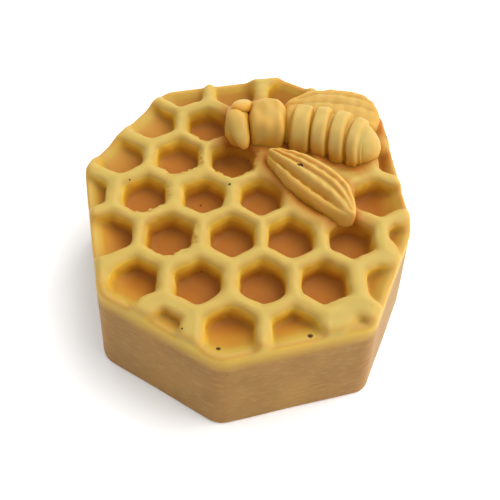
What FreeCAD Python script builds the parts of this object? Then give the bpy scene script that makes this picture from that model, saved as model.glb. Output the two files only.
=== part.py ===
"""Beeswax casting: an eight-sided block with open honeycomb cells on top and a bee lying on the comb.

Frame: origin at the middle of the base, +Z up, +X right, the front face of the block faces -Y.
One node per sculpted element. All sizes are in millimetres, all angles in degrees.
"""
import FreeCAD, Part
import math
import os

from FreeCAD import Vector

# ---- block ----
block_height = 26.0          # base to the cell rims
outline_radius = 37.8        # middle of the block to a full corner, at rim height
base_flare = 2.8             # how much further out each corner stands at the base
corner_rounding = 1.4        # radius of the eight upright edges
# one entry per corner: its direction, and how far it is pulled in from the full radius
outline_corners = [
    (-113.5, 0.0),
    (-68.0, 0.6),
    (-27.0, 5.1),
    (26.0, -0.3),
    (66.5, 0.0),
    (109.5, 0.0),
    (155.0, 1.2),
    (-154.5, 0.2),
]

# ---- comb ----
cell_pitch = 12.0            # centre of one cell to the centre of the next
cell_depth = 5.3             # rims to cell floors
rim_width = 2.8              # width of the wall between two cells, at the rims
wall_taper = 0.45            # how much each wall thickens on one side, from rim to floor
comb_turn = -14.0            # turn of the cell rows from +X
comb_shift_x = 1.3           # place of the middle cell
comb_shift_y = -0.7
edge_drop = 1.3              # how far the floor of an open edge cell stays below the rims
edge_slope_width = 5.0       # width of the ring in which the edge cells' floors rise
full_reach = 8.2             # a cell stays full of wax if a bee piece's middle is nearer to it than this

# ---- bee ----
# Headings run from head to tail. Half widths and heights are measured from the rims.
thorax_place = (7.2, 17.0)
thorax_heading = -16.0
thorax_length = 8.2
thorax_half_width = 5.5
thorax_height = 6.2

head_heading = -12.0
head_length = 4.8
head_half_width = 5.4
head_height = 4.4
# loaf shape of head and thorax: shares of the full section at the ends and at the shoulders
loaf_end_share = 0.72
loaf_shoulder_share = 0.94
loaf_shoulder_station = 0.32 # place of the shoulders, as a share of the length from the middle

eye_length = 4.4             # along the body
eye_width = 7.0              # across the body
eye_height = 6.0
eye_spread = 3.4             # middle of the head to the middle of each eye
eye_lift = 1.9               # height of the eyes' middles over the rims

waist_heading = -22.0
waist_length = 0.9
waist_half_width = 3.9
waist_height = 4.4

abdomen_heading = -26.0      # heading of the first band
abdomen_bend = -4.0          # turn from each band to the next
abdomen_root_half_width = 4.4
abdomen_root_height = 5.2
# one entry per band: its length, then the half width and height at the groove behind it
bands = [
    (4.5, 5.2, 5.8),
    (4.4, 5.4, 5.8),
    (4.2, 5.3, 5.4),
    (3.6, 4.9, 4.9),
]
band_bulge = 0.4             # how far a band stands over the grooves beside it
tail_length = 4.4
tail_middle_share = 0.86     # share of the root section half way along the tail
tail_tip_half_width = 0.7
tail_tip_height = 1.4

# wings: outline points measured from the middle of the thorax, then the leaf's thickness, and how
# far its top face is drawn in from its foot
left_wing_outline = [
    (-2.3, -8.1), (1.6, -8.0), (6.0, -10.6), (10.0, -15.0), (12.2, -21.2),
    (11.4, -27.8), (8.4, -29.0), (4.4, -25.0), (0.4, -19.4), (-2.0, -13.6),
]
left_wing_height = 3.8
left_wing_edge_inset = 1.0
right_wing_outline = [
    (5.2, 5.0), (10.4, 8.0), (16.0, 8.6), (21.2, 6.8), (25.0, 3.2),
    (25.6, -2.4), (24.0, -6.2), (19.8, -8.0), (12.8, -4.0), (5.8, 0.0),
]
right_wing_height = 3.4
right_wing_edge_inset = 1.2

# ---- worked out from the sizes above ----
floor_z = block_height - cell_depth
rim_z = block_height
cell_rise = cell_pitch * math.sqrt(3.0) / 2.0
# rows and columns tried on each side of the middle cell
comb_reach = int(math.ceil((outline_radius + cell_pitch) / cell_rise))
section_points = 11          # points on the arch of one bee section


def polar(radius, angle, z):
    """Point at a radius and direction about the Z axis."""
    return Vector(radius * math.cos(math.radians(angle)), radius * math.sin(math.radians(angle)), z)


def outline_wire(z, grow):
    """Closed eight-sided wire at height z, each corner moved outwards by grow."""
    points = [polar(outline_radius - pulled_in + grow, angle, z) for angle, pulled_in in outline_corners]
    return Part.makePolygon(points + [points[0]])


def whole_block():
    """Solid block from the base to the rims, with sloping sides and rounded upright edges."""
    solid = Part.makeLoft([outline_wire(0.0, base_flare), outline_wire(rim_z, 0.0)], True, True)
    upright = [edge for edge in solid.Edges if edge.BoundBox.ZLength > block_height / 2.0]
    return solid.makeFillet(corner_rounding, upright)


def slab(z_low, z_high):
    """Wide flat box used to slice the block at a height."""
    side = 4.0 * outline_radius
    return Part.makeBox(side, side, z_high - z_low, Vector(-side / 2.0, -side / 2.0, z_low))


def cell_centre(row, column):
    """Centre of a cell on the comb, counted from the middle cell."""
    along = cell_pitch * (column + 0.5 * (row % 2))
    across = cell_rise * row
    turn = math.radians(comb_turn)
    x = comb_shift_x + along * math.cos(turn) - across * math.sin(turn)
    y = comb_shift_y + along * math.sin(turn) + across * math.cos(turn)
    return x, y


def hexagon_wire(x, y, across_flats, z):
    """Six-sided wire whose flats face the neighbouring cells."""
    radius = across_flats / math.sqrt(3.0)
    points = []
    for corner in range(6):
        point = polar(radius, comb_turn + 90.0 + 60.0 * corner, z)
        points.append(point + Vector(x, y, 0.0))
    return Part.makePolygon(points + [points[0]])


def cell_cutter(x, y):
    """Tapered six-sided pocket from the floor level up through the rims."""
    opening = cell_pitch - rim_width
    floor_opening = opening - 2.0 * wall_taper
    pocket = Part.makeLoft(
        [hexagon_wire(x, y, floor_opening, floor_z), hexagon_wire(x, y, opening, rim_z)], True, True)
    return pocket


def pocket_room():
    """Space in which pockets may be cut: it rises and widens to the outline at the open edge cells."""
    lip_z = rim_z - edge_drop
    dish = Part.makeLoft([outline_wire(floor_z, -edge_slope_width), outline_wire(lip_z, 0.0)], True, True)
    brim = Part.makeLoft([outline_wire(lip_z, 0.0), outline_wire(rim_z, base_flare)], True, True)
    return dish.fuse(brim)


def comb_layer(supports):
    """Layer of cell walls between the floors and the rims. Cells near a support stay full."""
    layer = whole_block().common(slab(floor_z, rim_z))
    room = pocket_room()
    for row in range(-comb_reach, comb_reach + 1):
        for column in range(-comb_reach, comb_reach + 1):
            x, y = cell_centre(row, column)
            if math.hypot(x, y) > outline_radius + cell_pitch / 2.0:
                continue
            if min(math.hypot(x - point.x, y - point.y) for point in supports) < full_reach:
                continue
            pocket = cell_cutter(x, y).common(room)
            if pocket.Volume > 1.0:
                layer = layer.cut(pocket)
    return layer


def arch_wire(x, y, heading, half_width, height):
    """Upright arch across the bee's body, closed by a straight line on the rim plane."""
    side = Vector(-math.sin(math.radians(heading)), math.cos(math.radians(heading)), 0.0)
    middle = Vector(x, y, rim_z)
    points = []
    for step in range(section_points):
        angle = math.pi * step / (section_points - 1)
        points.append(middle + side * (half_width * math.cos(angle)) + Vector(0, 0, height * math.sin(angle)))
    arch = Part.BSplineCurve()
    arch.interpolate(points)
    base = Part.makeLine(points[-1], points[0])
    return Part.Wire([arch.toShape(), base])


def lofted_body(sections):
    """Solid through a row of arches, each (x, y, heading, half width, height)."""
    return Part.makeLoft([arch_wire(*section) for section in sections], True, False)


def direction(heading):
    """Unit vector along a heading."""
    return Vector(math.cos(math.radians(heading)), math.sin(math.radians(heading)), 0.0)


def rounded_body(place, heading, length, half_width, height):
    """Loaf-shaped solid, full in the middle and smaller at both ends."""
    sections = []
    stations = [
        (-0.5, loaf_end_share),
        (-loaf_shoulder_station, loaf_shoulder_share),
        (0.0, 1.0),
        (loaf_shoulder_station, loaf_shoulder_share),
        (0.5, loaf_end_share),
    ]
    for station, share in stations:
        point = place + direction(heading) * (station * length)
        sections.append((point.x, point.y, heading, half_width * share, height * share))
    return lofted_body(sections)


def ellipsoid(x, y, z, heading, length, width, height):
    """Ellipsoid with its length along the heading."""
    ball = Part.makeSphere(1.0)
    stretch = FreeCAD.Matrix()
    stretch.scale(length / 2.0, width / 2.0, height / 2.0)
    shape = ball.transformGeometry(stretch)
    shape.rotate(Vector(0, 0, 0), Vector(0, 0, 1), heading)
    shape.translate(Vector(x, y, z))
    return shape


def eye(side):
    """Eye at one side of the head: side is -1 for the bee's left and +1 for its right."""
    place = head_middle + direction(head_heading + 90.0) * (side * eye_spread)
    eye_z = rim_z + eye_lift
    ball = ellipsoid(place.x, place.y, eye_z, head_heading, eye_length, eye_width, eye_height)
    return ball.common(slab(rim_z, rim_z + 2.0 * eye_height))


def abdomen_grooves():
    """Arches between the bands, from the waist to the tail: (x, y, heading, half width, height)."""
    place = thorax_rear + direction(waist_heading) * waist_length
    heading = abdomen_heading
    grooves = [(place.x, place.y, heading, abdomen_root_half_width, abdomen_root_height)]
    for length, half_width, height in bands:
        place = place + direction(heading) * length
        grooves.append((place.x, place.y, heading + abdomen_bend / 2.0, half_width, height))
        heading += abdomen_bend
    return grooves


def band(front, rear):
    """One ring of the abdomen, between two grooves."""
    middle = [(a + b) / 2.0 for a, b in zip(front, rear)]
    middle[3] += band_bulge
    middle[4] += band_bulge
    return lofted_body([front, tuple(middle), rear])


def tail(groove):
    """Pointed end of the abdomen."""
    x, y, heading, half_width, height = groove
    middle = Vector(x, y, 0.0) + direction(heading) * (tail_length * 0.5)
    tip = Vector(x, y, 0.0) + direction(heading) * tail_length
    return lofted_body([
        groove,
        (middle.x, middle.y, heading, half_width * tail_middle_share, height * tail_middle_share),
        (tip.x, tip.y, heading, tail_tip_half_width, tail_tip_height),
    ])


def waist(groove):
    """Narrow neck between the thorax and the first band."""
    return lofted_body([
        (thorax_rear.x, thorax_rear.y, thorax_heading, waist_half_width, waist_height),
        (groove[0], groove[1], groove[2], waist_half_width, waist_height),
    ])


def wing_points(outline):
    """Outline points of a wing on the rim plane."""
    return [Vector(thorax_place[0] + x, thorax_place[1] + y, rim_z) for x, y in outline]


def middle_of(points):
    """Mean of some points."""
    total = Vector(0, 0, 0)
    for point in points:
        total = total + point
    return total * (1.0 / len(points))


def wing(outline, height, edge_inset):
    """Thick leaf lying on the rims, its top face drawn in from its foot."""
    foot = wing_points(outline)
    middle = middle_of(foot)
    top = []
    for point in foot:
        inwards = middle - point
        inwards.normalize()
        top.append(point + inwards * edge_inset + Vector(0, 0, height))
    wires = []
    for points in (foot, top):
        curve = Part.BSplineCurve()
        curve.interpolate(points, True)
        wires.append(Part.Wire([curve.toShape()]))
    return Part.makeLoft(wires, True, True)


def bee_supports(grooves):
    """Points of the comb that lie under the bee: its body pieces, wings and the left wing's root."""
    places = [Vector(thorax_place[0], thorax_place[1], 0.0)]
    for front, rear in zip(grooves, grooves[1:]):
        places.append(Vector((front[0] + rear[0]) / 2.0, (front[1] + rear[1]) / 2.0, 0.0))
    left_points = wing_points(left_wing_outline)
    places.append(middle_of(left_points))
    places.append(middle_of([left_points[0], left_points[1], left_points[2], left_points[-1]]))
    places.append(middle_of(wing_points(right_wing_outline)))
    return places


def without(shape, others):
    """Shape with the space of the other pieces taken out."""
    for other in others:
        shape = shape.cut(other)
    return shape


thorax_middle = Vector(thorax_place[0], thorax_place[1], 0.0)
thorax_front = thorax_middle - direction(thorax_heading) * (thorax_length / 2.0)
thorax_rear = thorax_middle + direction(thorax_heading) * (thorax_length / 2.0)
head_middle = thorax_front - direction(head_heading) * (head_length / 2.0)


def make_pieces():
    """Every node with its solid."""
    pieces = {}
    grooves = abdomen_grooves()
    pieces["block"] = whole_block().common(slab(0.0, floor_z))
    pieces["comb"] = comb_layer(bee_supports(grooves))
    thorax = rounded_body(thorax_middle, thorax_heading, thorax_length, thorax_half_width, thorax_height)
    left_eye = without(eye(-1), [thorax])
    right_eye = without(eye(1), [thorax, left_eye])
    head = rounded_body(head_middle, head_heading, head_length, head_half_width, head_height)
    pieces["bee_thorax"] = thorax
    pieces["bee_left_eye"] = left_eye
    pieces["bee_right_eye"] = right_eye
    pieces["bee_head"] = without(head, [thorax, left_eye, right_eye])
    for index in range(len(bands)):
        pieces["bee_band_%d" % (index + 1)] = band(grooves[index], grooves[index + 1])
    pieces["bee_tail"] = tail(grooves[-1])
    pieces["bee_waist"] = without(waist(grooves[0]), [thorax, pieces["bee_band_1"]])
    body = [shape for name, shape in pieces.items() if name.startswith("bee_")]
    left_wing = wing(left_wing_outline, left_wing_height, left_wing_edge_inset)
    right_wing = wing(right_wing_outline, right_wing_height, right_wing_edge_inset)
    pieces["bee_left_wing"] = without(left_wing, body)
    pieces["bee_right_wing"] = without(right_wing, body)
    return pieces


def main():
    """Writes one STEP file per node. A cut may leave slivers beside a piece, so its largest solid is kept."""
    os.makedirs("parts", exist_ok=True)
    for name, shape in make_pieces().items():
        solid = max(shape.Solids, key=lambda candidate: candidate.Volume)
        solid.exportStep("parts/%s.step" % name)
        print(name, "valid", solid.isValid(), "volume %.1f" % solid.Volume)


main()
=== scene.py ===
import math
import bpy
import numpy as np
from mathutils import Matrix, Vector


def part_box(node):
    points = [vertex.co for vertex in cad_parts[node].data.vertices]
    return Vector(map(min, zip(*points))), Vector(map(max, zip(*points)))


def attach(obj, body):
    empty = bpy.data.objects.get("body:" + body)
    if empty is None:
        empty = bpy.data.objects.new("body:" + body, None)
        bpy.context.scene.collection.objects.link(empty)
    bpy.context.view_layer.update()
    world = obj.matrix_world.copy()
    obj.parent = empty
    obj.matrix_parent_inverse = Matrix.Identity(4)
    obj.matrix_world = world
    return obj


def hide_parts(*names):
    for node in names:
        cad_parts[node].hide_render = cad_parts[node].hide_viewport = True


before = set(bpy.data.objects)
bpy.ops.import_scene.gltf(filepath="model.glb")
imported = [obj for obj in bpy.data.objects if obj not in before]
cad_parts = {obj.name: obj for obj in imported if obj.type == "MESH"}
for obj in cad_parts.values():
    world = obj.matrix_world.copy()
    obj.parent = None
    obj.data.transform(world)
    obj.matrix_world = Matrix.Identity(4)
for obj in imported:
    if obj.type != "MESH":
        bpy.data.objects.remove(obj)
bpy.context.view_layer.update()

# ---------------------------------------------------------------------------------------------
# Studio: one pale table top, a big soft light overhead to the right, a weak fill, a white room.
# The camera looks down on the front of the block, with a short portrait lens.
# ---------------------------------------------------------------------------------------------
MM = 0.001

scene = bpy.context.scene
scene.view_settings.view_transform = "Standard"

camera_turn = math.radians(15.9)       # to the left of the front face
camera_pitch = math.radians(54.7)      # above the table
camera_roll = math.radians(2.57)
camera_distance = 138.8 * MM
camera_aim = Vector((-1.9, -5.3, 13.0)) * MM

back = Vector((
    -math.sin(camera_turn) * math.cos(camera_pitch),
    -math.cos(camera_turn) * math.cos(camera_pitch),
    math.sin(camera_pitch),
))
lens = bpy.data.cameras.new("camera")
lens.lens = 46.1
lens.sensor_width = 36.0
lens.clip_start = 0.005
camera = bpy.data.objects.new("camera", lens)
scene.collection.objects.link(camera)
look = (-back).to_track_quat("-Z", "Y").to_matrix().to_4x4()
camera.matrix_world = (
    Matrix.Translation(camera_aim + back * camera_distance) @ look @ Matrix.Rotation(camera_roll, 4, "Z"))
scene.camera = camera


def soft_light(name, place, size, power, colour):
    """Square soft box that faces the middle of the block."""
    data = bpy.data.lights.new(name, "AREA")
    data.size = size
    data.energy = power
    data.color = colour
    lamp = bpy.data.objects.new(name, data)
    lamp.location = place
    lamp.rotation_euler = (-Vector(place)).to_track_quat("-Z", "Y").to_euler()
    scene.collection.objects.link(lamp)


soft_light("key_light", (0.52, 0.16, 0.82), 0.8, 10.0, (1.0, 0.98, 0.95))
soft_light("side_light", (0.75, -0.55, 0.35), 0.5, 3.4, (1.0, 0.99, 0.97))

world = bpy.data.worlds.new("white_room")
world.use_nodes = True
world.node_tree.nodes["Background"].inputs["Color"].default_value = (1.0, 1.0, 1.0, 1.0)
world.node_tree.nodes["Background"].inputs["Strength"].default_value = 0.92
scene.world = world

table_half = 1.5                       # metres
table_gap = 0.0001                     # keeps the table just clear of the base
table_mesh = bpy.data.meshes.new("table_top")
table_mesh.from_pydata(
    [(-table_half, -table_half, 0), (table_half, -table_half, 0), (table_half, table_half, 0),
     (-table_half, table_half, 0)], [], [(0, 1, 2, 3)])
table = bpy.data.objects.new("table_top", table_mesh)
table.location.z = -table_gap
scene.collection.objects.link(table)
table_paint = bpy.data.materials.new("table_paint")
table_paint.use_nodes = True
table_shader = table_paint.node_tree.nodes["Principled BSDF"]
table_shader.inputs["Base Color"].default_value = (0.93, 0.93, 0.93, 1.0)
table_shader.inputs["Roughness"].default_value = 0.8
table_mesh.materials.append(table_paint)

# ---------------------------------------------------------------------------------------------
# Wax body: the block and its comb are one pour of beeswax. The cells are six-sided pockets with
# sloping walls; those at the edge run out over the rim. The cells under the bee stayed full.
# ---------------------------------------------------------------------------------------------
# all the values here are in millimetres
cell_depth = 5.3
rim_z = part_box("comb")[1].z / MM
floor_z = rim_z - cell_depth

outline_radius = 37.8
base_flare = 2.8
corner_softness = 1.6                  # rounding of the eight upright edges
# direction of each corner in degrees, and how far it is pulled in
outline_corners = [
    (-113.5, 0.0), (-68.0, 0.6), (-27.0, 5.1), (26.0, -0.3),
    (66.5, 0.0), (109.5, 0.0), (155.0, 1.2), (-154.5, 0.2),
]
cell_pitch = 12.0
cell_rise = cell_pitch * math.sqrt(3.0) / 2.0
rim_width = 2.9
wall_taper = 0.45
comb_turn = math.radians(-14.0)
comb_shift = (1.3, -0.7)
edge_drop = 1.3                        # how far the floor of an edge cell stays below the rims
edge_slope_width = 4.3                 # ring in which the floors of the edge cells rise
front_slope_width = 2.6                # how much wider that ring is at the front
# cells by row and column
filled_cells = [(0, 1), (1, 0), (1, 1), (2, 0), (2, 1), (2, 2), (3, 1)]
torn_cells = [(2, -1), (1, -2), (1, -1), (0, -2), (-1, -2)]
small_cells = [(-3, -2), (-3, 1)]
small_cell_narrowing = 0.9
stretch_reach = 3.2                    # the edge cells are drawn outwards this near to the outline
stretch_share = 0.25
front_stretch_share = 0.35             # added to it at the front


def soft_max(a, b, width):
    """Larger of two distances, rounded where they meet."""
    overlap = np.maximum(width - np.abs(a - b), 0.0) / width
    return np.maximum(a, b) + overlap * overlap * width * 0.25


def soft_min(a, b, width):
    """Smaller of two distances, rounded where they meet."""
    return -soft_max(-a, -b, width)


def ripple(x, y, z, wavelength, seed):
    """Gentle irregular wave between about -1 and 1, as in a cast surface."""
    rng = np.random.default_rng(seed)
    total = np.zeros_like(x)
    for turn in range(5):
        way = rng.normal(size=3)
        way = way / np.linalg.norm(way) * (2.0 * math.pi / wavelength) * rng.uniform(0.7, 1.5)
        total += np.sin(way[0] * x + way[1] * y + way[2] * z + rng.uniform(0.0, 6.28))
    return total / 3.0


def luck(row, column, salt):
    """Fixed random number from -1 to 1 for each cell."""
    value = np.sin(row * 12.9898 + column * 78.233 + salt * 37.719) * 43758.5453
    return (value - np.floor(value)) * 2.0 - 1.0


def side_distance(x, y, z):
    """Distance outside the eight sloping sides."""
    result = None
    count = len(outline_corners)
    for index in range(count):
        corners = []
        for angle, pulled_in in (outline_corners[index], outline_corners[(index + 1) % count]):
            turn = math.radians(angle)
            radius = outline_radius - pulled_in
            corners.append((radius * math.cos(turn), radius * math.sin(turn)))
        (x0, y0), (x1, y1) = corners
        length = math.hypot(x1 - x0, y1 - y0)
        out_x, out_y = (y1 - y0) / length, -(x1 - x0) / length
        flare = base_flare * math.cos(math.pi / count) * (rim_z - z) / rim_z
        distance = (x - x0) * out_x + (y - y0) * out_y - flare
        result = distance if result is None else soft_max(result, distance, corner_softness)
    return result


def nearest_cell(x, y):
    """Row and column of the nearest cell, and the place inside it."""
    turned_x = (x - comb_shift[0]) * math.cos(comb_turn) + (y - comb_shift[1]) * math.sin(comb_turn)
    turned_y = -(x - comb_shift[0]) * math.sin(comb_turn) + (y - comb_shift[1]) * math.cos(comb_turn)
    best = None
    low_row = np.floor(turned_y / cell_rise)
    for row in (low_row, low_row + 1.0):
        offset = 0.5 * np.mod(row, 2.0)
        column = np.round(turned_x / cell_pitch - offset)
        across = turned_x - (column + offset) * cell_pitch
        along = turned_y - row * cell_rise
        reach = across * across + along * along
        if best is None:
            best = [row, column, across, along, reach]
        else:
            closer = reach < best[4]
            found = (row, column, across, along, reach)
            best = [np.where(closer, new, old) for new, old in zip(found, best)]
    return best[:4]


def is_listed(row, column, cells):
    """1 where the cell is in the list, else 0."""
    found = np.zeros_like(row)
    for listed_row, listed_column in cells:
        found = np.where((row == listed_row) & (column == listed_column), 1.0, found)
    return found


def pocket_distance(x, y, z):
    """Distance outside the nearest open pocket, negative in its air."""
    inward = -side_distance(x, y, np.full_like(z, rim_z))
    reach = np.hypot(x, y) + 0.001
    # near the outline the cells are drawn outwards, so that their outer walls are lost
    front = np.clip(-y / 20.0, 0.0, 1.0)
    share = stretch_share + front_stretch_share * front
    pull = share * np.clip(stretch_reach - inward, 0.0, stretch_reach) / reach
    row, column, across, along = nearest_cell(x * (1.0 - pull), y * (1.0 - pull))
    across = across - 0.25 * luck(row, column, 1)
    along = along + 0.15 - 0.25 * luck(row, column, 2)
    slant = 0.5 * across
    rise = along * math.sqrt(0.75)
    depth = np.clip((rim_z - z) / (rim_z - floor_z), -0.5, 1.0)
    roundness = 13.0 - 5.0 * np.clip(depth, 0.0, 1.0)
    spread = (np.abs(across) ** roundness + np.abs(slant + rise) ** roundness
              + np.abs(slant - rise) ** roundness) ** (1.0 / roundness)
    half_opening = (cell_pitch - rim_width) / 2.0 * (1.0 + 0.035 * luck(row, column, 3)) - wall_taper * depth
    half_opening = half_opening - small_cell_narrowing * is_listed(row, column, small_cells)
    wall = spread - half_opening + 0.17 * ripple(x, y, z, 5.5, 11) + 0.06 * ripple(x, y, z, 2.4, 12)
    # the front rims of the torn cells are ragged near the top
    torn = is_listed(row, column, torn_cells) * np.clip(-along / 2.5 + 0.3 * across, 0.0, 1.0)
    torn = torn * np.clip((z - rim_z + 2.2) / 1.5, 0.0, 1.0)
    wall = wall - torn * (0.30 * ripple(x, y, z, 1.3, 5) + 0.45 * np.abs(ripple(x, y, z, 2.2, 6)))
    slope_width = edge_slope_width + front_slope_width * front
    edge_rise = (rim_z - edge_drop) - (rim_z - edge_drop - floor_z) * inward / slope_width
    # the cells at the back left are shallower
    shallower = 0.06 * np.clip(y - x - 20.0, 0.0, 30.0)
    local_floor = floor_z + shallower + 0.25 * luck(row, column, 4) + 0.08 * ripple(x, y, z, 6.0, 21)
    ground = soft_max(edge_rise, local_floor, 3.0)
    pocket = soft_max(wall, ground - z, 1.1)
    return np.where(is_listed(row, column, filled_cells) > 0.5, 5.0, pocket)


def wax_body(x, y, z):
    """Distance outside the block with its comb."""
    row, column, across, along = nearest_cell(x, y)
    middle = np.hypot(across, along)
    junction = np.clip((middle - 5.6) / 1.3, 0.0, 1.0)
    dip = 0.9 * is_listed(row, column, filled_cells) * np.clip((5.6 - middle) / 3.0, 0.0, 1.0)
    waves = 0.16 * ripple(x, y, z, 14.0, 3)
    small_waves = 0.07 * ripple(x, y, z, 3.6, 4)
    top = z - (rim_z - 0.18 + 0.22 * junction - dip + waves + small_waves)
    sides = side_distance(x, y, z) + 0.05 * ripple(x, y, z, 16.0, 31)
    solid = soft_max(top, sides, 1.8)
    solid = soft_max(solid, -z, 0.5)
    return soft_max(solid, -pocket_distance(x, y, z), 1.4)


def cast(name, solid, low, high, step):
    """Mesh of the surface where solid() is zero, between two corners; all in millimetres.

    The box is cut into small cubes. Each cube that the surface passes through gets one vertex, at the
    mean of the points where it crosses the cube's edges. Each crossed edge gets one face, between the
    four cubes that share it."""
    counts = [int(math.ceil((high[axis] - low[axis]) / step)) + 1 for axis in range(3)]
    lines = [low[axis] + step * np.arange(counts[axis], dtype=np.float32) for axis in range(3)]
    values = np.empty(counts, np.float32)
    slab = 24                          # slices worked out together, to save memory
    for index in range(0, counts[0], slab):
        x, y, z = np.meshgrid(lines[0][index:index + slab], lines[1], lines[2], indexing="ij")
        values[index:index + slab] = solid(x, y, z)
    inside = values < 0.0
    cube_ids = []
    crossings = []
    quads = []
    shape = np.array(counts) - 1
    for axis in range(3):
        first = [slice(None)] * 3
        second = [slice(None)] * 3
        first[axis] = slice(0, -1)
        second[axis] = slice(1, None)
        start = inside[tuple(first)]
        crossing = np.argwhere(start != inside[tuple(second)])
        v0 = values[tuple(first)][tuple(crossing.T)]
        v1 = values[tuple(second)][tuple(crossing.T)]
        leaving = start[tuple(crossing.T)]
        point = crossing.astype(np.float64)
        point[:, axis] += v0 / (v0 - v1)
        side_a = (axis + 1) % 3
        side_b = (axis + 2) % 3
        corner_ids = []
        for back_a, back_b in ((0, 0), (1, 0), (1, 1), (0, 1)):
            cube = crossing.copy()
            cube[:, side_a] -= back_a
            cube[:, side_b] -= back_b
            corner_ids.append((cube[:, 0] * shape[1] + cube[:, 1]) * shape[2] + cube[:, 2])
            crossings.append(point)
        cube_ids.extend(corner_ids)
        quad = np.stack(corner_ids, 1)
        quad[~leaving] = quad[~leaving][:, ::-1]
        quads.append(quad)
    ids, places = np.unique(np.concatenate(cube_ids), return_inverse=True)
    points = np.concatenate(crossings)
    totals = np.bincount(places, minlength=len(ids))
    vertices = np.stack([np.bincount(places, points[:, axis], len(ids)) / totals for axis in range(3)], 1)
    vertices = vertices * step + np.array(low)
    faces = np.searchsorted(ids, np.concatenate(quads))
    # two rounds of smoothing that take the steps away with little shrinking
    start, end = np.concatenate([faces[:, [corner, (corner + 1) % 4]] for corner in range(4)]).T
    around = np.bincount(start, minlength=len(ids))[:, None]
    for share in (0.5, -0.52, 0.5, -0.52):
        mean = np.stack([np.bincount(start, vertices[end, axis], len(ids)) for axis in range(3)], 1) / around
        vertices = vertices + share * (mean - vertices)
    mesh = bpy.data.meshes.new(name)
    mesh.vertices.add(len(vertices))
    mesh.vertices.foreach_set("co", (vertices * MM).astype(np.float32).ravel())
    mesh.loops.add(faces.size)
    mesh.loops.foreach_set("vertex_index", faces.astype(np.int32).ravel())
    mesh.polygons.add(len(faces))
    mesh.polygons.foreach_set("loop_start", np.arange(0, faces.size, 4, dtype=np.int32))
    mesh.polygons.foreach_set("use_smooth", np.ones(len(faces), bool))
    mesh.update(calc_edges=True)
    mesh.validate()
    piece = bpy.data.objects.new(name, mesh)
    scene.collection.objects.link(piece)
    return piece


def thin_out(piece, share):
    """Fewer faces where the surface is flat."""
    modifier = piece.modifiers.new("thin_out", "DECIMATE")
    modifier.ratio = share
    bpy.context.view_layer.update()
    shown = piece.evaluated_get(bpy.context.evaluated_depsgraph_get())
    mesh = bpy.data.meshes.new_from_object(shown)
    piece.modifiers.clear()
    old = piece.data
    piece.data = mesh
    bpy.data.meshes.remove(old)
    mesh.name = piece.name


def vertex_places(piece):
    """Vertices of a piece in millimetres, as three arrays."""
    places = np.empty(len(piece.data.vertices) * 3, np.float32)
    piece.data.vertices.foreach_get("co", places)
    return (places.reshape(-1, 3) / MM).T.astype(np.float64)


def vertex_normals(piece):
    """Normals at the vertices of a piece, as three arrays."""
    normals = np.empty(len(piece.data.vertices) * 3, np.float32)
    piece.data.vertex_normals.foreach_get("vector", normals)
    return normals.reshape(-1, 3).T.astype(np.float64)


def mark(piece, name, values):
    """Stores one number per vertex for the wax material."""
    attribute = piece.data.attributes.new(name, "FLOAT", "POINT")
    attribute.data.foreach_set("value", np.clip(values, 0.0, 1.0).astype(np.float32))


body_step = 0.36
body = cast("wax_body", wax_body, (-43.0, -43.0, -1.2), (43.0, 43.0, 27.6), body_step)
thin_out(body, 0.55)
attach(body, "root")
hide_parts("block", "comb")


# ---------------------------------------------------------------------------------------------
# Bee body: head, two almond eyes, boxy thorax and narrow waist, sculpted on the full cells and
# cast with them. Each is a soft-edged loaf that sinks a little into the comb under it.
# ---------------------------------------------------------------------------------------------
sink = 1.6                             # how far each bee piece reaches down into the wax
bee_shapes = {}


def middle_of(node):
    """Middle of a CAD node on the comb, in millimetres."""
    low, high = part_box(node)
    return ((low.x + high.x) / 2.0 / MM, (low.y + high.y) / 2.0 / MM)


def on_body(x, y, middle, heading):
    """Places along and across the bee's body, from a middle point; headings run towards the tail."""
    turn = math.radians(heading)
    along = (x - middle[0]) * math.cos(turn) + (y - middle[1]) * math.sin(turn)
    across = -(x - middle[0]) * math.sin(turn) + (y - middle[1]) * math.cos(turn)
    return along, across


def seated(distance, z):
    """Cuts a shape off a little under the rims."""
    return soft_max(distance, rim_z - sink - z, 0.4)


def loaf(middle, heading, half_length, half_width, height, squareness):
    """Solid with a flat foot and rounded shoulders."""
    def solid(x, y, z):
        along, across = on_body(x, y, middle, heading)
        up = z - rim_z
        ring = (np.abs(along / half_length) ** squareness + np.abs(across / half_width) ** squareness
                + np.abs(up / height) ** squareness) ** (1.0 / squareness)
        lumps = 0.16 * ripple(x, y, z, 4.0, 41)
        return seated((ring - 1.0) * half_length + lumps, z)
    return solid


def almond(middle, heading, side, out_from_middle, set_back):
    """Eye that hangs down one side of the head; side is -1 for the bee's left, +1 for its right."""
    lean = math.radians(38.0)

    def solid(x, y, z):
        along, across = on_body(x, y, middle, heading)
        along = along - set_back
        out = across * side - out_from_middle
        up = z - rim_z - 2.6
        down_side = out * math.cos(lean) - up * math.sin(lean)
        proud = out * math.sin(lean) + up * math.cos(lean)
        # the lower tip is narrower and swept back towards the thorax
        swept = along - 0.24 * down_side
        width = 2.1 * (1.0 - 0.26 * np.clip(down_side / 4.4, -1.0, 1.0))
        ring = (np.abs(swept / width) ** 2.4 + np.abs(down_side / 4.3) ** 2.4
                + np.abs(proud / 1.75) ** 2.4) ** (1.0 / 2.4)
        return seated((ring - 1.0) * 1.8, z)
    return solid


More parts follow.
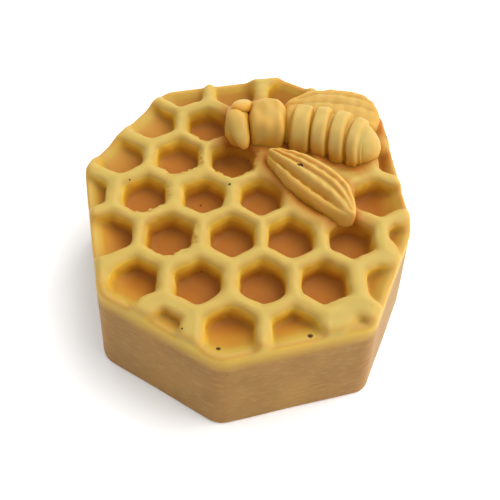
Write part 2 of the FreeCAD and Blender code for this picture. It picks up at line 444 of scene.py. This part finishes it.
thorax_middle = middle_of("bee_thorax")
head_middle = middle_of("bee_head")
waist_middle = middle_of("bee_waist")
head_heading = -12.0                   # degrees
bee_shapes["bee_thorax"] = loaf(
    thorax_middle, heading=-16.0, half_length=4.3, half_width=5.2, height=5.9, squareness=3.6)
bee_shapes["bee_head"] = loaf(
    head_middle, heading=head_heading, half_length=2.8, half_width=4.6, height=4.6, squareness=2.6)
bee_shapes["bee_left_eye"] = almond(head_middle, head_heading, side=-1.0, out_from_middle=3.2, set_back=0.2)
bee_shapes["bee_right_eye"] = almond(head_middle, head_heading, side=1.0, out_from_middle=3.7, set_back=1.2)
bee_shapes["bee_waist"] = loaf(
    waist_middle, heading=-20.0, half_length=2.2, half_width=4.2, height=4.6, squareness=2.4)

# ---------------------------------------------------------------------------------------------
# Abdomen: four raised bands with grooves between them, and a pointed tail. Each band is wider
# than the grooves beside it and leans back a little.
# ---------------------------------------------------------------------------------------------
bands = {
    "bee_band_1": dict(
        heading=-26.0, half_length=2.25, half_width=4.9, height=5.35, half_strap=2.00, lean=0.10),
    "bee_band_2": dict(
        heading=-30.0, half_length=2.20, half_width=5.3, height=5.55, half_strap=1.62, lean=0.18),
    "bee_band_3": dict(
        heading=-34.0, half_length=2.10, half_width=5.35, height=5.35, half_strap=1.58, lean=0.24),
    "bee_band_4": dict(
        heading=-38.0, half_length=1.80, half_width=5.1, height=4.95, half_strap=1.25, lean=0.28),
}
strap_height = 0.55                    # the strap stands this far over the ring
groove_depth = 0.55                    # the ring lies this far under the band's full size


def ring_band(middle, heading, half_length, half_width, height, half_strap, lean):
    """One band: a low ring from groove to groove with a raised, rounded strap on it."""
    def solid(x, y, z):
        along, across = on_body(x, y, middle, heading)
        up = np.maximum(z - rim_z, 0.0)
        leaning = along + lean * (up - 0.6 * height)
        ring = (np.abs(across / half_width) ** 2.3 + np.abs(up / height) ** 2.3) ** (1.0 / 2.3)
        radial = (ring - 1.0) * (half_width + height) / 2.0 + 0.10 * ripple(x, y, z, 3.5, 51)
        low_ring = soft_max(radial + groove_depth, np.abs(leaning) - half_length - 0.25, 0.2)
        strap = soft_max(radial - strap_height, np.abs(leaning) - half_strap, 0.9)
        return seated(soft_min(low_ring, strap, 0.5), z)
    return solid


for name, sizes in bands.items():
    bee_shapes[name] = ring_band(middle_of(name), **sizes)

tail_heading = -41.0
tail_middle = middle_of("bee_tail")


def tail_shape(x, y, z):
    """Pointed end of the abdomen, full at the root."""
    along, across = on_body(x, y, tail_middle, tail_heading)
    up = np.maximum(z - rim_z, 0.0)
    along = along + 0.3 * (up - 2.0)
    share = np.clip((along + 2.6) / 4.9, 0.0, 1.0)
    half_width = 0.3 + 4.3 * np.sqrt(np.clip(1.0 - share ** 1.9, 0.0, 1.0))
    height = 0.9 + 3.7 * np.sqrt(np.clip(1.0 - share ** 2.4, 0.0, 1.0))
    ring = (np.abs(across / half_width) ** 2.2 + np.abs(up / height) ** 2.2) ** (1.0 / 2.2)
    radial = (ring - 1.0) * np.minimum(half_width, height) + 0.06 * ripple(x, y, z, 3.5, 53)
    return seated(soft_max(radial, np.abs(along + 0.2) - 2.4, 0.8), z)


bee_shapes["bee_tail"] = tail_shape

# ---------------------------------------------------------------------------------------------
# Wings: thick leaves that lie over the comb. The veins are carved as long grooves between
# rounded ridges; the left wing has a low ridge along its outer flank.
# ---------------------------------------------------------------------------------------------


def leaf(root, tip, left_edge, right_edge, height, ridges, fade):
    """Wing from its root to its tip. The edges are (along, out) pairs; the ridges are (share of the width,
    share of the height) pairs counted from the left edge, and they fade out near the tip."""
    length = math.hypot(tip[0] - root[0], tip[1] - root[1])
    way_x = (tip[0] - root[0]) / length
    way_y = (tip[1] - root[1]) / length

    def solid(x, y, z):
        along = (x - root[0]) * way_x + (y - root[1]) * way_y
        across = -(x - root[0]) * way_y + (y - root[1]) * way_x
        left = np.interp(along, *zip(*left_edge))
        right = np.interp(along, *zip(*right_edge))
        share = (across + left) / np.maximum(left + right, 0.5)
        ridge = np.interp(share, *zip(*ridges))
        flat = np.clip(1.0 - (length - along) / fade, 0.0, 0.75)
        ridge = ridge + (0.9 - ridge) * flat * np.clip(share / 0.25, 0.0, 1.0)
        crown = height * (0.70 + 0.30 * np.sin(math.pi * np.clip(along / length * 0.9 + 0.08, 0.0, 1.0)))
        top = rim_z + crown * ridge
        edge = np.maximum(-left - across, across - right)
        edge = soft_max(edge, np.maximum(-along, along - length), 1.0)
        distance = soft_max((z - top) * 0.72, edge * 0.92, 1.0)
        return seated(distance + 0.10 * ripple(x, y, z, 3.6, 61), z)
    return solid


bee_shapes["bee_left_wing"] = leaf(
    root=(5.0, 8.8), tip=(17.4, -12.1), height=3.8, fade=6.5,
    left_edge=[
        (0.0, 0.3), (0.8, 1.0), (1.8, 1.5), (4.2, 2.2), (6.7, 2.7), (9.3, 3.1), (12.1, 3.2), (16.0, 3.0),
        (19.6, 2.6), (21.9, 2.1), (23.3, 1.3), (24.3, 0.2)],
    right_edge=[
        (0.0, 0.6), (0.7, 1.4), (1.5, 2.0), (4.8, 3.8), (7.4, 4.8), (10.5, 5.4), (13.0, 5.7), (16.0, 5.7),
        (17.6, 5.4), (19.3, 4.6), (21.3, 3.3), (23.2, 1.5), (24.3, 0.2)],
    ridges=[
        (0.0, 0.40), (0.07, 0.56), (0.15, 0.62), (0.21, 0.50), (0.24, 0.46), (0.28, 0.64), (0.33, 0.90),
        (0.38, 0.99), (0.45, 0.97), (0.51, 0.82), (0.55, 0.80), (0.61, 0.99), (0.67, 0.99), (0.73, 0.80),
        (0.77, 0.78), (0.84, 0.94), (0.92, 0.88), (1.0, 0.72)])
bee_shapes["bee_right_wing"] = leaf(
    root=(12.0, 20.8), tip=(32.4, 14.2), height=3.4, fade=4.0,
    left_edge=[(0.0, 1.0), (4.0, 4.4), (12.0, 5.0), (18.0, 5.0), (20.0, 4.2), (21.4, 2.4)],
    right_edge=[
        (0.0, 1.0), (1.0, 2.3), (3.0, 4.0), (6.3, 5.9), (10.1, 6.6), (13.5, 6.6), (16.5, 6.3), (18.3, 5.5),
        (19.9, 3.9), (21.4, 0.6)],
    ridges=[
        (0.0, 0.9), (0.40, 0.95), (0.50, 0.92), (0.56, 0.83), (0.62, 0.92), (0.70, 0.98), (0.76, 0.92),
        (0.80, 0.84), (0.85, 0.92), (0.92, 0.92), (1.0, 0.74)])

# ---------------------------------------------------------------------------------------------
# Bee castings: each bee piece is cast in a box a little larger than its solid, and takes that
# solid's place. They are the same wax as the body and never move on it.
# ---------------------------------------------------------------------------------------------
bee_step = 0.2
casting_margin = Vector((3.0, 3.0, 2.0))

bee_pieces = {}
for name, solid in bee_shapes.items():
    low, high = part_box(name)
    piece = cast(name + "_wax", solid, low / MM - casting_margin, high / MM + casting_margin, bee_step)
    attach(piece, "root")
    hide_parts(name)
    bee_pieces[name] = piece

# ---------------------------------------------------------------------------------------------
# Wax: beeswax, satin and slightly see-through. The rims stay pale; a painted glow lights the upper
# cell walls, painted orange-brown shade darkens floors, creases and the comb around the bee, and
# the sides are painted a darker tan as shade. It holds a few dark specks of debris.
# ---------------------------------------------------------------------------------------------
all_shapes = [wax_body] + list(bee_shapes.values())


def crease(piece):
    """How much wax stands over each vertex, from 0 in the open to 1 in a deep crease; it sets painted shade.
    """
    x, y, z = vertex_places(piece)
    out_x, out_y, out_z = vertex_normals(piece)
    total = np.zeros_like(x)
    # one look close by, one near and one further out along the normal, each with its weight
    for reach, weight in ((0.7, 0.35), (1.6, 0.35), (3.6, 0.30)):
        place = (x + out_x * reach, y + out_y * reach, z + out_z * reach)
        clear = np.full_like(x, 99.0)
        for solid in all_shapes:
            clear = np.minimum(clear, solid(*place))
        total += weight * np.clip(1.0 - clear / reach, 0.0, 1.0)
    return total


# outside: the sides, which get a darker tan as painted shade; depth: from rim to cell floor, painted
# darker as shade; steep: cell walls against floors and rims, which get a painted glow near the top
x, y, z = vertex_places(body)
sides = side_distance(x, y, z)
# painted shade: this mask picks the sides for their darker painted tan
mark(body, "outside", np.clip(1.0 + sides / 1.0, 0.0, 1.0) * np.clip((rim_z - 1.2 - z) / 5.0, 0.0, 1.0))
at_outline = np.clip(1.0 + sides / 2.5, 0.0, 1.0)
rim_band = 0.5                         # the rims stay pale this far down
below_rim = np.clip((rim_z - rim_band - z) / (rim_z - floor_z - rim_band), 0.0, 1.0)
# painted shade: the cells are painted darker with depth below the pale rim band
mark(body, "depth", below_rim * (1.0 - 0.75 * at_outline))
# painted light: the steep walls take the wall colours, with a painted glow near their top
mark(body, "steep", (0.85 - vertex_normals(body)[2]) / 0.5)
# painted shade: the comb is painted darker in its creases and where the bee stands over it
bee_gap = np.full_like(x, 99.0)
for solid in bee_shapes.values():
    bee_gap = np.minimum(bee_gap, solid(x, y, z))
mark(body, "crease", 0.7 * crease(body) + 0.8 * np.clip(1.0 - bee_gap / 3.8, 0.0, 1.0))
# painted shade: each bee piece is painted darker in its creases and towards its foot
for piece in bee_pieces.values():
    foot = np.clip(1.0 - (vertex_places(piece)[2] - rim_z) / 3.2, 0.0, 1.0)
    mark(piece, "crease", 1.1 * crease(piece) + 0.45 * foot)


class WaxNodes:
    """The shader nodes of one wax material, and short ways to add and join them."""

    def __init__(self, name):
        self.material = bpy.data.materials.new(name)
        self.material.use_nodes = True
        self.tree = self.material.node_tree
        self.shader = self.tree.nodes["Principled BSDF"]

    def node(self, kind, **settings):
        made = self.tree.nodes.new(kind)
        for key, value in settings.items():
            setattr(made, key, value)
        return made

    def link(self, source, target):
        self.tree.links.new(source, target)

    def attribute(self, name):
        return self.node("ShaderNodeAttribute", attribute_name=name).outputs["Fac"]

    def noise(self, scale, detail, coordinates):
        made = self.node("ShaderNodeTexNoise")
        made.inputs["Scale"].default_value = scale
        made.inputs["Detail"].default_value = detail
        self.link(coordinates, made.inputs["Vector"])
        return made.outputs["Fac"]

    def calculate(self, operation, first, second, third=None):
        made = self.node("ShaderNodeMath", operation=operation)
        for index, value in enumerate((first, second, third)):
            if value is None:
                continue
            if isinstance(value, (int, float)):
                made.inputs[index].default_value = value
            else:
                self.link(value, made.inputs[index])
        return made.outputs[0]

    def ramp(self, value, stops):
        made = self.node("ShaderNodeValToRGB")
        made.color_ramp.interpolation = "EASE"
        elements = made.color_ramp.elements
        while len(elements) < len(stops):
            elements.new(0.5)
        for element, (place, colour) in zip(elements, stops):
            element.position = place
            element.color = (*colour, 1.0)
        self.link(value, made.inputs["Fac"])
        return made.outputs["Color"]

    def mix(self, share, first, second):
        made = self.node("ShaderNodeMix", data_type="RGBA")
        self.link(share, made.inputs["Factor"])
        for value, socket in ((first, made.inputs[6]), (second, made.inputs[7])):
            if isinstance(value, tuple):
                socket.default_value = (*value, 1.0)
            else:
                self.link(value, socket)
        return made.outputs[2]


pale_straw = (0.42, 0.31, 0.080)
# painted shade: these stops paint the cells darker from rim to floor
shallow_shade_straw = (0.42, 0.275, 0.045)
mid_shade_honey = (0.40, 0.19, 0.022)
# painted light: a glow painted on the upper cell walls
wall_glow_straw = (0.55, 0.37, 0.050)
wall_glow_yellow = (0.60, 0.345, 0.03)
# painted shade: deeper cell walls and cell floors
mid_shade_golden = (0.50, 0.235, 0.016)
floor_shade_brown = (0.36, 0.132, 0.016)
# painted shade: orange for creases, the comb around the bee and the foot of the bee
crease_shade_orange = (0.34, 0.12, 0.012)
bee_crease_shade_orange = (0.50, 0.23, 0.02)
bee_cream = (0.40, 0.285, 0.078)
pale_bee_cream = (0.43, 0.32, 0.098)
# painted shade: the sides are painted a darker tan than the tops
side_shade_tan = (0.265, 0.138, 0.034)
dark_side_shade_tan = (0.235, 0.118, 0.027)
streak_tan = (0.40, 0.25, 0.085)
speck_brown = (0.06, 0.03, 0.01)
no_streak = (0.0, 0.0, 0.0)
full_streak = (0.34, 0.34, 0.34)
# larger specks: place in millimetres and radius
big_specks = [((10.0, 2.0, 29.1), 0.75), ((-14.5, -32.0, 23.6), 0.45), ((2.0, -33.5, 24.0), 0.5)]


def wax_material(name, has_cells):
    """Beeswax with painted light and shade; the body also uses its cell depth and its outside faces."""
    wax = WaxNodes(name)
    place = wax.node("ShaderNodeNewGeometry").outputs["Position"]
    cloud = wax.noise(180.0, 3.0, place)
    fine = wax.noise(900.0, 4.0, place)
    crease_shade = wax.attribute("crease")
    if has_cells:
        # painted shade: the cells are painted darker from rim to floor
        depth = wax.calculate("MULTIPLY_ADD", cloud, 0.22, wax.attribute("depth"))
        depth = wax.calculate("SUBTRACT", depth, 0.11)
        flat_colour = wax.ramp(depth, [(0.05, pale_straw), (0.30, shallow_shade_straw), (0.60, mid_shade_honey), (0.90, floor_shade_brown)])
        # painted light: the wall ramp paints the upper walls brighter as a glow, then darker towards the
        # floor
        wall_colour = wax.ramp(depth, [
            (0.02, pale_straw), (0.13, wall_glow_straw), (0.36, wall_glow_yellow), (0.62, mid_shade_golden),
            (0.90, floor_shade_brown)])
        colour = wax.mix(wax.attribute("steep"), flat_colour, wall_colour)
        outside = wax.attribute("outside")
        # painted shade: the sides get a darker tan than the tops
        shaded_side = wax.ramp(cloud, [(0.3, dark_side_shade_tan), (0.7, side_shade_tan)])
        # fine streaks that lie level
        flat_place = wax.node("ShaderNodeVectorMath", operation="MULTIPLY")
        wax.link(place, flat_place.inputs[0])
        flat_place.inputs[1].default_value = (1.0, 1.0, 3.0)
        streaks = wax.noise(500.0, 5.0, flat_place.outputs["Vector"])
        streaks = wax.ramp(streaks, [(0.44, no_streak), (0.80, full_streak)])
        shaded_side = wax.mix(streaks, shaded_side, streak_tan)
        colour = wax.mix(outside, colour, shaded_side)
    else:
        colour = wax.ramp(cloud, [(0.3, bee_cream), (0.7, pale_bee_cream)])
    # painted shade: creases, the comb around the bee and the bee's foot turn orange
    colour = wax.mix(crease_shade, colour, crease_shade_orange if has_cells else bee_crease_shade_orange)
    # small specks: a bit under half of these little regions have one, each of its own size
    cells = wax.node("ShaderNodeTexVoronoi", feature="F1")
    cells.inputs["Scale"].default_value = 300.0
    wax.link(place, cells.inputs["Vector"])
    rare = wax.node("ShaderNodeSeparateColor")
    wax.link(cells.outputs["Color"], rare.inputs["Color"])
    chosen = wax.calculate("GREATER_THAN", rare.outputs["Red"], 0.55)
    size = wax.calculate("MULTIPLY", rare.outputs["Green"], 0.09)
    dot = wax.calculate("LESS_THAN", cells.outputs["Distance"], size)
    speck = wax.calculate("MULTIPLY", chosen, dot)
    for centre, radius in big_specks:
        gap = wax.node("ShaderNodeVectorMath", operation="DISTANCE")
        wax.link(place, gap.inputs[0])
        gap.inputs[1].default_value = tuple(value * MM for value in centre)
        speck = wax.calculate("MAXIMUM", speck, wax.calculate("LESS_THAN", gap.outputs["Value"], radius * MM))
    colour = wax.mix(speck, colour, speck_brown)
    wax.link(colour, wax.shader.inputs["Base Color"])
    wax.shader.inputs["Roughness"].default_value = 0.5
    wax.shader.inputs["IOR"].default_value = 1.44
    wax.shader.inputs["Specular IOR Level"].default_value = 0.14
    wax.shader.inputs["Subsurface Weight"].default_value = 0.75
    wax.shader.inputs["Subsurface Radius"].default_value = (1.0, 0.45, 0.15)
    wax.shader.inputs["Subsurface Scale"].default_value = 3.2 * MM
    bump = wax.node("ShaderNodeBump")
    bump.inputs["Strength"].default_value = 0.25
    bump.inputs["Distance"].default_value = 0.15 * MM
    wax.link(wax.calculate("ADD", cloud, wax.calculate("MULTIPLY", fine, 0.3)), bump.inputs["Height"])
    wax.link(bump.outputs["Normal"], wax.shader.inputs["Normal"])
    return wax.material


body.data.materials.clear()
body.data.materials.append(wax_material("body_wax", True))
bee_wax = wax_material("bee_wax", False)
for piece in bee_pieces.values():
    piece.data.materials.clear()
    piece.data.materials.append(bee_wax)
